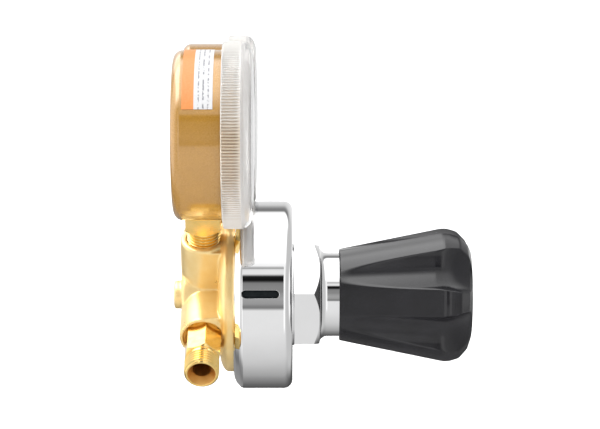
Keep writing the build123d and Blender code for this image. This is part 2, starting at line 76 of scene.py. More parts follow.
def grid_faces(rows, cols, closed=True, base=0, flip=False):
    f = []
    for i in range(rows - 1):
        for j in range(cols if closed else cols - 1):
            a = base + i * cols + j
            b = base + i * cols + (j + 1) % cols
            c = base + (i + 1) * cols + (j + 1) % cols
            d = base + (i + 1) * cols + j
            f.append((a, d, c, b) if flip else (a, b, c, d))
    return f


def rounded(pts, r=0.15, steps=5, hold=0.08):
    """A profile with every inner corner rounded. pts: (a, b) or (a, b, radius)."""
    out = []
    n = len(pts)
    for i, p in enumerate(pts):
        rad = p[2] if len(p) > 2 else r
        q = np.array(p[:2], float)
        if i == 0 or i == n - 1 or rad <= 0:
            out.append(q)
            continue
        a, b = np.array(pts[i - 1][:2], float), np.array(pts[i + 1][:2], float)
        u, v = a - q, b - q
        lu, lv = np.linalg.norm(u), np.linalg.norm(v)
        if lu < 1e-6 or lv < 1e-6:
            out.append(q)
            continue
        u, v = u / lu, v / lv
        cosang = float(np.clip(u @ v, -1, 1))
        ang = math.acos(cosang)
        if ang > math.pi - 0.02:
            out.append(q)
            continue
        t = rad / math.tan(ang / 2)
        lim = 0.45 * min(lu, lv)
        if t > lim:
            t = lim
            rad = t * math.tan(ang / 2)
        p0, p1 = q + u * t, q + v * t
        bis = (u + v) / np.linalg.norm(u + v)
        c = q + bis * (rad / math.sin(ang / 2))
        h = min(hold, 0.4 * (lu - t), 0.4 * (lv - t))
        if h > 0.005:
            out.append(p0 + u * h)
        a0 = math.atan2(*(p0 - c)[::-1])
        a1 = math.atan2(*(p1 - c)[::-1])
        d = (a1 - a0 + math.pi) % (2 * math.pi) - math.pi
        k = max(2, int(steps * abs(d) / (math.pi / 2) + 1.5))
        for s in range(k + 1):
            w = a0 + d * s / k
            out.append(c + rad * np.array([math.cos(w), math.sin(w)]))
        if h > 0.005:
            out.append(p1 + v * h)
    return out


def split_long(pts, most):
    """Adds points so that no step is longer than most."""
    out = [np.array(pts[0], float)]
    for p in pts[1:]:
        p = np.array(p, float)
        d = np.linalg.norm(p - out[-1])
        k = int(math.ceil(d / most))
        q = out[-1]
        for i in range(1, k + 1):
            out.append(q + (p - q) * i / k)
    return out


def lathe(name, pts, segs=256, closed=False, along="x"):
    """Turned piece about the X axis (or Z). pts: (axial, radius)."""
    pts = [np.asarray(p, float) for p in pts]
    th = np.linspace(0, 2 * math.pi, segs, endpoint=False)
    rows = []
    for x, r in pts:
        r = max(r, 0.0)
        if along == "x":
            rows.append(np.stack([np.full(segs, x), r * np.cos(th), r * np.sin(th)], 1))
        else:
            rows.append(np.stack([r * np.cos(th), r * np.sin(th), np.full(segs, x)], 1))
    v = np.concatenate(rows)
    n = len(pts)
    f = grid_faces(n, segs, flip=(along == "x"))
    if closed:
        last = (n - 1) * segs
        for j in range(segs):
            a, b, c, d = last + j, last + (j + 1) % segs, (j + 1) % segs, j
            f.append((a, d, c, b) if along == "x" else (a, b, c, d))
    o = mesh_object(name, v, f)
    tidy(o)
    return o


def tidy(o, dist=1e-7):
    import bmesh
    bm = bmesh.new()
    bm.from_mesh(o.data)
    bmesh.ops.remove_doubles(bm, verts=bm.verts, dist=dist)
    bmesh.ops.dissolve_degenerate(bm, edges=bm.edges, dist=dist)
    bmesh.ops.recalc_face_normals(bm, faces=bm.faces)
    bm.to_mesh(o.data)
    bm.free()
    for p in o.data.polygons:
        p.use_smooth = True


def join(name, objs):
    """One object from several, materials kept."""
    bpy.ops.object.select_all(action="DESELECT")
    for o in objs:
        o.select_set(True)
    bpy.context.view_layer.objects.active = objs[0]
    bpy.ops.object.join()
    o = bpy.context.view_layer.objects.active
    o.name = name
    o.data.name = name
    return o


def transform(o, m):
    """m: 4x4 in millimetres."""
    m = Matrix(m)
    s = Matrix.Diagonal((MM, MM, MM, 1.0))
    o.data.transform(s @ m @ s.inverted())
    o.data.update()
    return o


def rot_x(deg):
    return Matrix.Rotation(math.radians(deg), 4, "X")


def shift(x, y, z):
    return Matrix.Translation((x, y, z))


def port_m(phi):
    return shift(PORT_X, 0, 0) @ rot_x(phi)


def gauge_m(side):
    return rot_x(SPLAY[side]) @ shift(0, 0, GAUGE_DIST)


def smin(a, b, k):
    h = np.clip(0.5 + 0.5 * (b - a) / k, 0, 1)
    return b * (1 - h) + a * h - k * h * (1 - h)


def smax(a, b, k):
    return -smin(-a, -b, k)


def polar(name, xs, th, radius, along="x"):
    """Closed skin r(x, th): radius is an array rows x cols."""
    rows, cols = radius.shape
    X = np.repeat(np.asarray(xs, float)[:, None], cols, 1)
    c, s = np.cos(th)[None, :], np.sin(th)[None, :]
    if along == "x":
        v = np.stack([X, radius * c, radius * s], 2).reshape(-1, 3)
    else:
        v = np.stack([radius * c, radius * s, X], 2).reshape(-1, 3)
    return v, grid_faces(rows, cols, flip=(along == "x"))


# ------------------------------------------------------------------ materials
def new_mat(name):
    m = bpy.data.materials.new(name)
    m.use_nodes = True
    nt = m.node_tree
    b = nt.nodes["Principled BSDF"]
    return m, nt, b


def node(nt, kind, **props):
    n = nt.nodes.new(kind)
    for k, v in props.items():
        if k.startswith("in_"):
            key = k[3:]
            n.inputs[int(key) if key.isdigit() else key.replace("_", " ")].default_value = v
        else:
            setattr(n, k, v)
    return n


def coords(nt, scale=(1, 1, 1), rot=(0, 0, 0)):
    t = node(nt, "ShaderNodeTexCoord")
    m = node(nt, "ShaderNodeMapping")
    m.inputs["Scale"].default_value = scale
    m.inputs["Rotation"].default_value = rot
    nt.links.new(t.outputs["Object"], m.inputs["Vector"])
    return m.outputs["Vector"]


def noise(nt, vec, scale, detail=4.0, rough=0.5):
    n = node(nt, "ShaderNodeTexNoise", in_Scale=scale, in_Detail=detail, in_Roughness=rough)
    nt.links.new(vec, n.inputs["Vector"])
    return n.outputs["Fac"]


def ramp(nt, fac, stops, interp="LINEAR"):
    r = node(nt, "ShaderNodeValToRGB")
    r.color_ramp.interpolation = interp
    el = r.color_ramp.elements
    while len(el) < len(stops):
        el.new(0.5)
    for e, (p, c) in zip(el, stops):
        e.position = p
        e.color = c if len(c) == 4 else (*c, 1)
    nt.links.new(fac, r.inputs["Fac"])
    return r.outputs["Color"]


def map_range(nt, fac, lo, hi, a=0.0, b=1.0):
    m = node(nt, "ShaderNodeMapRange")
    m.inputs["From Min"].default_value = a
    m.inputs["From Max"].default_value = b
    m.inputs["To Min"].default_value = lo
    m.inputs["To Max"].default_value = hi
    nt.links.new(fac, m.inputs["Value"])
    return m.outputs["Result"]


def bump(nt, height, strength, dist, normal=None):
    b = node(nt, "ShaderNodeBump")
    b.inputs["Strength"].default_value = strength
    b.inputs["Distance"].default_value = dist
    nt.links.new(height, b.inputs["Height"])
    if normal is not None:
        nt.links.new(normal, b.inputs["Normal"])
    return b.outputs["Normal"]


def mix_rgb(nt, fac, a, b, mode="MIX"):
    m = node(nt, "ShaderNodeMix", data_type="RGBA", blend_type=mode)
    ia, ib = m.inputs[6], m.inputs[7]
    if hasattr(fac, "is_output"):
        nt.links.new(fac, m.inputs[0])
    else:
        m.inputs[0].default_value = fac
    for sock, val in ((ia, a), (ib, b)):
        if hasattr(val, "is_output"):
            nt.links.new(val, sock)
        else:
            sock.default_value = val if len(val) == 4 else (*val, 1)
    return m.outputs[2]


def metal(name, c_lo, c_hi, rough_lo, rough_hi, n_scale=400, bump_scale=1500, bump_str=0.15, bump_dist=2e-5,
          stretch=(1, 1, 1), metallic=1.0):
    m, nt, b = new_mat(name)
    v = coords(nt, stretch)
    big = noise(nt, v, n_scale, 5, 0.55)
    fine = noise(nt, v, bump_scale, 3, 0.5)
    nt.links.new(ramp(nt, big, [(0.3, c_lo), (0.7, c_hi)]), b.inputs["Base Color"])
    nt.links.new(map_range(nt, big, rough_lo, rough_hi, 0.3, 0.7), b.inputs["Roughness"])
    nt.links.new(bump(nt, fine, bump_str, bump_dist), b.inputs["Normal"])
    b.inputs["Metallic"].default_value = metallic
    return m


def turned_metal(name, c_lo, c_hi, rough_lo, rough_hi, lines=9000, line_str=0.12, axis=(1, 0, 0)):
    """Machined metal with fine tool lines round an axis of the row frame."""
    m, nt, b = new_mat(name)
    v = coords(nt)
    big = noise(nt, v, 260, 4, 0.5)
    dot = node(nt, "ShaderNodeVectorMath", operation="DOT_PRODUCT")
    dot.inputs[1].default_value = axis
    nt.links.new(v, dot.inputs[0])
    comb = node(nt, "ShaderNodeCombineXYZ")
    nt.links.new(dot.outputs["Value"], comb.inputs["X"])
    ln = noise(nt, comb.outputs["Vector"], lines, 2, 0.6)
    nt.links.new(ramp(nt, big, [(0.3, c_lo), (0.7, c_hi)]), b.inputs["Base Color"])
    nt.links.new(map_range(nt, big, rough_lo, rough_hi, 0.3, 0.7), b.inputs["Roughness"])
    nt.links.new(bump(nt, ln, line_str, 2e-5), b.inputs["Normal"])
    b.inputs["Metallic"].default_value = 1.0
    return m


M = {}
M["forged_brass"] = metal("forged_brass", (0.93, 0.665, 0.275), (0.97, 0.745, 0.365), 0.27, 0.36, 180, 2600, 0.22, 3e-5, metallic=0.72)
M["machined_brass"] = metal("machined_brass", (0.93, 0.63, 0.20), (0.97, 0.70, 0.28), 0.13, 0.21, 300, 3000, 0.12, 1e-5)
M["chrome"] = metal("chrome", (0.845, 0.845, 0.848), (0.87, 0.87, 0.873), 0.012, 0.03, 120, 900, 0.025, 4e-6)
M["bore_brass"] = metal("bore_brass", (0.80, 0.46, 0.14), (0.86, 0.54, 0.19), 0.42, 0.55, 400, 2600, 0.25, 3e-5)
# near-black painted shade for the bonnet's vent slots and its inside
M["slot_dark"] = metal("slot_dark", (0.020, 0.024, 0.026), (0.035, 0.040, 0.044), 0.45, 0.6, 600, 2000, 0.3, 3e-5)
M["steel"] = turned_metal("steel", (0.52, 0.52, 0.52), (0.62, 0.62, 0.61), 0.22, 0.34)
M["spring_steel"] = metal("spring_steel", (0.30, 0.30, 0.31), (0.40, 0.40, 0.41), 0.28, 0.4)
M["aluminium"] = turned_metal("aluminium", (0.70, 0.71, 0.72), (0.78, 0.79, 0.80), 0.25, 0.36)
M["bronze"] = metal("bronze", (0.42, 0.27, 0.13), (0.58, 0.40, 0.22), 0.45, 0.65, 2500, 3500, 0.9, 8e-5)
M["tube_bronze"] = metal("tube_bronze", (0.66, 0.42, 0.18), (0.76, 0.52, 0.25), 0.2, 0.32)
M["inner_brass"] = turned_metal("inner_brass", (0.78, 0.52, 0.20), (0.85, 0.61, 0.27), 0.16, 0.26)


def make_gold():
    """Metallic gold paint: flakes under a soft gloss."""
    m, nt, b = new_mat("gold_paint")
    v = coords(nt)
    vor = node(nt, "ShaderNodeTexVoronoi", in_Scale=9000.0)
    nt.links.new(v, vor.inputs["Vector"])
    big = noise(nt, v, 90, 4, 0.5)
    base = ramp(nt, big, [(0.3, (0.365, 0.172, 0.014)), (0.7, (0.395, 0.190, 0.019))])
    sep = node(nt, "ShaderNodeSeparateColor")
    nt.links.new(vor.outputs["Color"], sep.inputs["Color"])
    flake = mix_rgb(nt, map_range(nt, sep.outputs[0], 0.0, 0.35), base, (0.54, 0.31, 0.06))
    nt.links.new(flake, b.inputs["Base Color"])
    nt.links.new(map_range(nt, sep.outputs[1], 0.20, 0.32), b.inputs["Roughness"])
    b.inputs["Metallic"].default_value = 0.22
    b.inputs["IOR"].default_value = 1.5
    b.inputs["Coat Weight"].default_value = 1.0
    b.inputs["Coat Roughness"].default_value = 0.07
    b.inputs["Coat IOR"].default_value = 1.85
    nt.links.new(bump(nt, sep.outputs[2], 0.08, 1e-5), b.inputs["Normal"])
    return m


M["gold_paint"] = make_gold()


def make_plastic(name, lo, hi, r_lo, r_hi, grain=2600, strength=0.25, dist=2.5e-5, spec=0.5):
    m, nt, b = new_mat(name)
    v = coords(nt)
    big = noise(nt, v, 160, 4, 0.5)
    fine = noise(nt, v, grain, 3, 0.6)
    nt.links.new(ramp(nt, big, [(0.3, lo), (0.7, hi)]), b.inputs["Base Color"])
    nt.links.new(map_range(nt, fine, r_lo, r_hi, 0.3, 0.7), b.inputs["Roughness"])
    nt.links.new(bump(nt, fine, strength, dist), b.inputs["Normal"])
    b.inputs["Specular IOR Level"].default_value = spec
    return m


M["black_plastic"] = make_plastic("black_plastic", (0.0068, 0.0066, 0.0080), (0.0100, 0.0097, 0.0120), 0.12, 0.17, strength=0.08, spec=0.44)
M["seat_plastic"] = make_plastic("seat_plastic", (0.80, 0.80, 0.77), (0.88, 0.88, 0.86), 0.35, 0.5)
M["rubber"] = make_plastic("rubber", (0.015, 0.015, 0.016), (0.028, 0.028, 0.028), 0.55, 0.75, 1800, 0.5, 4e-5)
M["dial_paint"] = make_plastic("dial_paint", (0.84, 0.84, 0.82), (0.90, 0.90, 0.89), 0.45, 0.6, 3000, 0.1, 1e-5)
M["ink"] = make_plastic("ink", (0.012, 0.012, 0.013), (0.02, 0.02, 0.02), 0.4, 0.55, 3000, 0.1, 1e-5)
M["ink_red"] = make_plastic("ink_red", (0.55, 0.03, 0.02), (0.62, 0.05, 0.03), 0.4, 0.55, 3000, 0.1, 1e-5)
M["pointer_paint"] = make_plastic("pointer_paint", (0.012, 0.012, 0.013), (0.022, 0.022, 0.022), 0.35, 0.5)


def make_clear(name, trans, r_lo, r_hi, c_lo, c_hi, ior=1.40):
    m, nt, b = new_mat(name)
    v = coords(nt)
    nt.links.new(ramp(nt, noise(nt, v, 120, 3, 0.5), [(0.3, c_lo), (0.7, c_hi)]), b.inputs["Base Color"])
    nt.links.new(map_range(nt, noise(nt, v, 500, 4, 0.6), r_lo, r_hi, 0.3, 0.7), b.inputs["Roughness"])
    nt.links.new(bump(nt, noise(nt, v, 260, 3, 0.5), 0.05, 1e-5), b.inputs["Normal"])
    b.inputs["Transmission Weight"].default_value = trans
    b.inputs["IOR"].default_value = ior
    return m


def make_ribbed():
    """Grip band of the lens, with painted light and shade: the grooves are painted brown where the case behind would
    show through them, and the crests are pale.
    """
    m, nt, b = new_mat("ribbed_plastic")
    v = coords(nt)
    att = node(nt, "ShaderNodeAttribute", attribute_name="groove")
    big = noise(nt, v, 120, 3, 0.5)
    sep = node(nt, "ShaderNodeSeparateXYZ")
    nt.links.new(v, sep.inputs["Vector"])
    # painted light and shade: browner halfway up, a painted view of the case behind the ribs; paler towards the top and
    # the bottom, painted light
    shade_by_height = node(nt, "ShaderNodeMath", operation="ADD")
    nt.links.new(map_range(nt, sep.outputs["Z"], 0.0, 1.0, 0.030, 0.100), shade_by_height.inputs[0])
    nt.links.new(map_range(nt, big, -0.05, 0.05, 0.3, 0.7), shade_by_height.inputs[1])
    crest = ramp(nt, shade_by_height.outputs[0], [(0.12, (0.985, 0.955, 0.91)), (0.30, (0.93, 0.85, 0.74)), (0.50, (0.86, 0.73, 0.55)),
                                       (0.66, (0.97, 0.93, 0.86)), (0.85, (0.99, 0.98, 0.96))])
    # the groove colour is painted shade, darker and browner than the crests
    groove = ramp(nt, shade_by_height.outputs[0], [(0.12, (0.60, 0.48, 0.36)), (0.30, (0.43, 0.28, 0.15)), (0.50, (0.25, 0.12, 0.04)),
                                        (0.66, (0.56, 0.42, 0.28)), (0.85, (0.82, 0.78, 0.71))])
    nt.links.new(mix_rgb(nt, map_range(nt, att.outputs["Fac"], 0.0, 0.75, 0.2, 0.9), crest, groove), b.inputs["Base Color"])
    nt.links.new(map_range(nt, noise(nt, v, 500, 4, 0.6), 0.10, 0.18, 0.3, 0.7), b.inputs["Roughness"])
    nt.links.new(bump(nt, noise(nt, v, 1400, 3, 0.5), 0.1, 1e-5), b.inputs["Normal"])
    b.inputs["Transmission Weight"].default_value = 0.62
    b.inputs["IOR"].default_value = 1.40
    return m


M["clear_plastic"] = make_clear("clear_plastic", 0.62, 0.06, 0.12, (0.78, 0.765, 0.75), (0.83, 0.82, 0.81), 1.35)
M["ribbed_plastic"] = make_ribbed()
M["window_plastic"] = make_clear("window_plastic", 1.0, 0.01, 0.03, (0.97, 0.97, 0.97), (0.985, 0.985, 0.985), 1.49)


def make_label():
    """Sticker round the gauge case: an orange band, a white field, faint ruled lines. No lettering."""
    m, nt, b = new_mat("label")
    v = coords(nt)
    sep = node(nt, "ShaderNodeSeparateXYZ")
    nt.links.new(v, sep.inputs["Vector"])
    x = map_range(nt, sep.outputs["X"], 0.0, 1.0, 0.0062, 0.0173)
    grain = noise(nt, v, 1200, 3, 0.5)
    orange = ramp(nt, grain, [(0.3, (0.66, 0.215, 0.050)), (0.7, (0.71, 0.25, 0.070))])
    white = ramp(nt, grain, [(0.3, (0.56, 0.56, 0.57)), (0.7, (0.61, 0.61, 0.62))])
    lines = ramp(nt, x, [(0.0, (0, 0, 0)), (0.515, (0, 0, 0)), (0.52, (1, 1, 1)), (0.56, (1, 1, 1)), (0.565, (0, 0, 0)),
                         (0.665, (0, 0, 0)), (0.67, (1, 1, 1)), (0.72, (1, 1, 1)), (0.725, (0, 0, 0)),
                         (0.83, (0, 0, 0)), (0.835, (1, 1, 1)), (0.88, (1, 1, 1)), (0.885, (0, 0, 0))])
    # broken lines, like small ruling
    brk = noise(nt, coords(nt, (1, 1, 1)), 900, 1, 0.5)
    on = map_range(nt, brk, 0.0, 0.85, 0.44, 0.52)
    msk = node(nt, "ShaderNodeMath", operation="MULTIPLY")
    nt.links.new(lines, msk.inputs[0])
    nt.links.new(on, msk.inputs[1])
    field = mix_rgb(nt, msk.outputs[0], white, (0.16, 0.16, 0.18))
    side = ramp(nt, x, [(0.0, (0, 0, 0)), (0.385, (0, 0, 0)), (0.39, (1, 1, 1)), (1.0, (1, 1, 1))])
    nt.links.new(mix_rgb(nt, side, orange, field), b.inputs["Base Color"])
    nt.links.new(map_range(nt, grain, 0.35, 0.45), b.inputs["Roughness"])
    nt.links.new(bump(nt, grain, 0.05, 1e-5), b.inputs["Normal"])
    return m


M["label"] = make_label()


def dress(o, mat):
    o.data.materials.clear()
    o.data.materials.append(M[mat])
    return o


def piece(o, mat, body, *nodes, slot_name=None):
    if mat:
        dress(o, mat)
    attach(o, body)
    if nodes:
        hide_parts(*nodes)
    return o


# ------------------------------------------------------------------ threads
def threaded(z0, z1, crest, pitch, depth, taper=0.0, cols=144, chamfer0=0.0, chamfer1=0.8, runout=0.0, per=14):
    """Rows z0..z1 of a right-hand thread; returns zs, th, radius array."""
    zs = np.linspace(z0, z1, int((z1 - z0) / pitch * per) + 1)
    th = np.linspace(0, 2 * math.pi, cols, endpoint=False)
    Z, T = np.meshgrid(zs, th, indexing="ij")
    ph = (Z / pitch - T / (2 * math.pi)) % 1.0
    tri = np.abs(ph * 2 - 1)                    # 1 at crest, 0 at root
    prof = np.clip((tri - 0.12) / 0.76, 0, 1)
    prof = prof * prof * (3 - 2 * prof) * 0.35 + prof * 0.65
    d = depth * (1 - prof)
    if runout:
        d = d * np.clip((Z - z0) / runout, 0, 1)
    r = crest - taper * (Z - z0) - d
    if chamfer1:
        r = smin(r, crest - taper * (Z - z0) - (Z - (z1 - chamfer1)), 0.08)
    if chamfer0:
        r = smin(r, crest - (z0 + chamfer0 - Z), 0.08)
    return zs, th, r


def hex_radius(th, af, turn=0.0, k=0.12):
    """Distance to the flats of a hexagon, its corners just broken. A corner is at th = turn (radians)."""
    r = None
    for i in range(6):
        a = turn + math.radians(30 + 60 * i)
        c = np.cos(th - a)
        d = np.where(c > 0.3, af / 2 / np.maximum(c, 0.3), 1e3)
        r = d if r is None else smin(r, d, k)
    return r


def square_radius(th, af, turn=0.0, k=0.15):
    r = None
    for i in range(4):
        c = np.cos(th - turn - math.radians(90 * i))
        d = np.where(c > 0.3, af / 2 / np.maximum(c, 0.3), 1e3)
        r = d if r is None else smin(r, d, k)
    return r


def stack_skin(name, parts, closed_profile=None, along="z"):
    """Skins stacked along one axis with the same columns: list of (zs, radius rows x cols), joined in order."""
    rows = np.concatenate([np.asarray(p[1]) for p in parts])
    zs = np.concatenate([np.asarray(p[0]) for p in parts])
    cols = rows.shape[1]
    th = np.linspace(0, 2 * math.pi, cols, endpoint=False)
    v, f = polar(name, zs, th, rows, along)
    o = mesh_object(name, v, f)
    tidy(o)
    return o


def ring_rows(pts, cols):
    pts = np.asarray(pts, float)
    return pts[:, 0], np.repeat(pts[:, 1][:, None], cols, 1)


# ------------------------------------------------------------------ bonnet
def build_bonnet():
    clock = 7.7
    prof = [(BON_X0 + 0.2, 30.65, 0), (BON_X0, 31.0, 0.1), (BON_X0, 32.1, 0.5), (24.2, 34.0, 2.0), (26.3, BON_R, 2.2), (BON_X1, BON_R, 3.4),
            (BON_X1, 19.65, 0.08), (46.55, 19.6, 0), (46.55, 15.0, 0)]
    pts = rounded(prof, steps=14)
    pts = split_long(pts, 1.2)
    # columns: dense round the two vent slots
    mid1 = math.radians(180 - clock)
    mid2 = math.radians(-clock)
    base = list(np.linspace(0, 2 * math.pi, 288, endpoint=False))
    dense = []
    for mid in (mid1, mid2):
        dense += list(np.linspace(mid - 0.062, mid + 0.062, 80))
    th = np.array(sorted({round(t % (2 * math.pi), 6) for t in base + dense}))
    keep = [th[0]]
    for t in th[1:]:
        if t - keep[-1] > 0.0008:
            keep.append(t)
    th = np.array(keep)
    xs = np.array([p[0] for p in pts])
    rs = np.array([p[1] for p in pts])
    # rows: refine across the slots
    fx, fr = [], []
    for i in range(len(xs)):
        fx.append(xs[i]); fr.append(rs[i])
        if i + 1 < len(xs) and abs(rs[i] - BON_R) < 1e-3 and abs(rs[i + 1] - BON_R) < 1e-3:
            k = max(1, int((xs[i + 1] - xs[i]) / 0.12))
            for j in range(1, k):
                fx.append(xs[i] + (xs[i + 1] - xs[i]) * j / k); fr.append(BON_R)
    xs, rs = np.array(fx), np.array(fr)
    R = np.repeat(rs[:, None], len(th), 1)
    X = np.repeat(xs[:, None], len(th), 1)
    for mid in (mid1, mid2):
        d = (th - mid + math.pi) % (2 * math.pi) - math.pi
        Y = (d * BON_R)[None, :]
        cx = np.clip(X, 26.9 + 1.42, 40.8 - 1.42)
        sd = np.sqrt((X - cx) ** 2 + Y ** 2) - 1.42
        t = np.clip((0.14 - sd) / 0.28, 0, 1)
        t = t * t * (3 - 2 * t)
        on = np.abs(R - BON_R) < 0.02
        R = np.where(on & (np.abs(d)[None, :] < 0.1), R - 2.1 * t, R)
    v, f = polar("b", xs, th, R)
    drum = mesh_object("bonnet_drum", v, f)
    # hexagon
    hx = np.unique(np.concatenate([np.linspace(46.5, 52.8, 8), np.linspace(52.8, 56.9, 90), np.linspace(46.5, 47.2, 8)]))
    hth = np.linspace(0, 2 * math.pi, 1080, endpoint=False)
    X, T = np.meshgrid(hx, hth, indexing="ij")
    hexr = hex_radius(T, 38.1, math.radians(180 - clock), 0.10)
    rc = 38.1 / math.sqrt(3)
    cone = (rc - 0.25) + (X - 54.2) * ((38.1 / 2 + 0.20) - (rc - 0.25)) / 2.0
    r = smin(hexr, np.maximum(cone, 5), 0.12)
    # the rear end of the hexagon is closed back to the collar
    hx = np.concatenate([[46.5, 46.5], hx])
    r = np.concatenate([np.full((1, len(hth)), 18.6), r[:1] - 0.12, r])
    hx[2] = 46.56
    v1, f1 = polar("h", hx, hth, r)
    # front face of the hexagon, fillet and neck
    flare = [(59.3 - 3.05 * math.cos(math.radians(a)), 18.95 - 2.85 * math.sin(math.radians(a)), 0) for a in np.linspace(0, 90, 20)]
    front = rounded([(56.22, 18.95, 0)] + flare[1:] + [(60.5, 16.1, 0), (92.0, 16.1, 0), (97.6, 16.1, 0.5), (98.0, 15.4, 0.2), (98.0, 6.0, 0)], steps=14)
    hexo = mesh_object("bonnet_hex", v1, f1)
    import bmesh
    bm = bmesh.new(); bm.from_mesh(hexo.data)
    geom = bm.verts[:] + bm.edges[:] + bm.faces[:]
    bmesh.ops.bisect_plane(bm, geom=geom, plane_co=(56.25 * MM, 0, 0), plane_no=(1, 0, 0), clear_outer=True)
    edges = [e for e in bm.edges if e.is_boundary and all(v.co.x > 56.2 * MM for v in e.verts)]
    # close the front with a flat ring towards the neck
    ret = bmesh.ops.extrude_edge_only(bm, edges=edges)
    for vv in [g for g in ret["geom"] if isinstance(g, bmesh.types.BMVert)]:
        l = math.hypot(vv.co.y, vv.co.z)
        vv.co.y *= 16.3 * MM / l; vv.co.z *= 16.3 * MM / l
    bm.to_mesh(hexo.data); bm.free()
    tidy(hexo)
    hexo.data.polygons.foreach_set("use_smooth", [True] * len(hexo.data.polygons))
    neck = lathe("bonnet_neck", front, 256)
    # inside: rear lip, thread bore
    inner = lathe("bonnet_inner", rounded([(BON_X0 + 0.2, 30.65, 0), (36.0, 30.65, 0.1), (36.0, 24.5, 0.2), (43.0, 24.5, 0.2), (43.0, 13.0, 0.2), (93.0, 13.0, 0.2), (93.0, 6.0, 0.1), (98.0, 6.0, 0)]), 160)
    o = join("bonnet_visual", [drum, hexo, neck, inner])
    tidy(o)
    dress(o, "chrome")
    o.data.materials.append(M["slot_dark"])
    # the vent slot floors and walls, and the bonnet's inside, take the near-black painted shade
    for p in o.data.polygons:
        c = p.center / MM
        r = math.hypot(c.y, c.z)
        if 26.6 < c.x < 41.1 and 33.0 < r < BON_R - 0.12:
            p.material_index = 1
        elif r < 30.7 and c.x < 43.1:
            p.material_index = 1
    return piece(o, None, "regulator", "bonnet")


build_bonnet()


# ------------------------------------------------------------------ knob
def knob_radius(X, T):
    prof = rounded([(KNOB_X0 - 0.01, KNOB_R0 - 0.35, 0), (KNOB_X0 + 0.35, KNOB_R0, 0.3), (KNOB_XW, KNOB_R1 + 0.12, 8.5), (109.9, 25.3, 3.0), (113.2, 21.6, 4.0), (114.7, 17.2, 4.0), (115.15, 10.8, 0)], steps=10)
    px = np.array([p[0] for p in prof]); pr = np.array([p[1] for p in prof])
    R = np.interp(X, px, pr)
    tilt = 0.103
    c = 12.0 + 17.75 + (X - 64.6) * tilt - 0.030 * np.maximum(0, X - 100.0) ** 2
    rho = 12.0
    out = R
    for i in range(6):
        a = math.radians(90 + 60 * i)
        d = (T - a + math.pi) % (2 * math.pi) - math.pi
        disc = rho ** 2 - (c * np.sin(d)) ** 2
        ok = (disc > 0) & (np.abs(d) < 1.0)
        # tangent continuation outside the circle keeps the blend smooth
        fl = np.where(ok, c * np.cos(d) - np.sqrt(np.maximum(disc, 0)), 1e3)
        out = smin(out, fl, 0.55)
    return out


def build_knob():
    # one skin from the small end, over the cone and round the nose to the cap
    xs = list(np.linspace(KNOB_X0, KNOB_X0 + 0.6, 8)) + list(np.linspace(64.8, 103.0, 110)) + list(np.linspace(103.2, 113.6, 70))
    xs = np.array(xs)
    th = np.linspace(0, 2 * math.pi, 1080, endpoint=False)
    X, T = np.meshgrid(xs, th, indexing="ij")
    R = knob_radius(X, T)
    v, f = polar("k", xs, th, R)
    # nose: by radius from the rim at 113.6 inwards
    prof = rounded([(KNOB_X0 - 0.01, KNOB_R0 - 0.35, 0), (KNOB_X0 + 0.35, KNOB_R0, 0.3), (KNOB_XW, KNOB_R1 + 0.12, 8.5), (109.9, 25.3, 3.0), (113.2, 21.6, 4.0), (114.7, 17.2, 4.0), (115.15, 10.8, 0)], steps=10)
    px = np.array([p[0] for p in prof]); pr = np.array([p[1] for p in prof])
    last = R[-1]
    rows = []
    r_full = np.interp(113.6, px, pr)
    nose_r = np.linspace(r_full, 10.7, 26)[1:]
    # x on the nose for a radius
    nx = px[px >= 113.0]; nr = pr[px >= 113.0]
    for k, rr in enumerate(nose_r):
        x = np.interp(rr, nr[::-1], nx[::-1])
        t = (k + 1) / len(nose_r)
        # columns that are in a flute start deeper and join the nose as it closes
        rad = np.minimum(last, rr)
        rows.append((x, rad))
    # flute columns: keep their radius until the nose radius passes it
    vs = [v]
    base = len(v)
    cols = len(th)
    for x, rad in rows:
        xx = np.where(last < np.interp(x, px, pr) - 1e-6, np.interp(rad, nr[::-1], nx[::-1]), x)
        xx = np.full(cols, x)
        vs.append(np.stack([xx, rad * np.cos(th), rad * np.sin(th)], 1))
    allv = np.concatenate(vs)
    f = grid_faces(len(xs) + len(rows), cols, flip=True)
    skin = mesh_object("knob_skin", allv, f)
    inner = lathe("knob_inner", rounded([(KNOB_X0, KNOB_R0 - 0.35, 0), (KNOB_X0 - 0.0, 17.0, 0.1), (KNOB_X0 + 0.3, 16.7, 0.1), (105.0, 16.7, 0.3), (105.0, 6.0, 0)]), 160)
    rim = lathe("knob_rim", rounded([(114.9, 10.75, 0), (115.12, 10.62, 0.15), (114.6, 10.6, 0.1), (112.2, 10.6, 0)]), 160)
    o = join("knob_visual", [skin, inner, rim])
    tidy(o)
    piece(o, "black_plastic", "knob", "adjusting_knob")
    cap = lathe("knob_cap_visual", rounded([(112.0, 0, 0), (112.0, 10.45, 0.2), (114.8, 10.45, 0.45), (115.15, 9.2, 0.5), (115.05, 8.6, 0.2), (115.2, 8.0, 0.3), (115.25, 0, 0)], steps=8), 160)
    piece(cap, "black_plastic", "knob", "knob_cap")


build_knob()


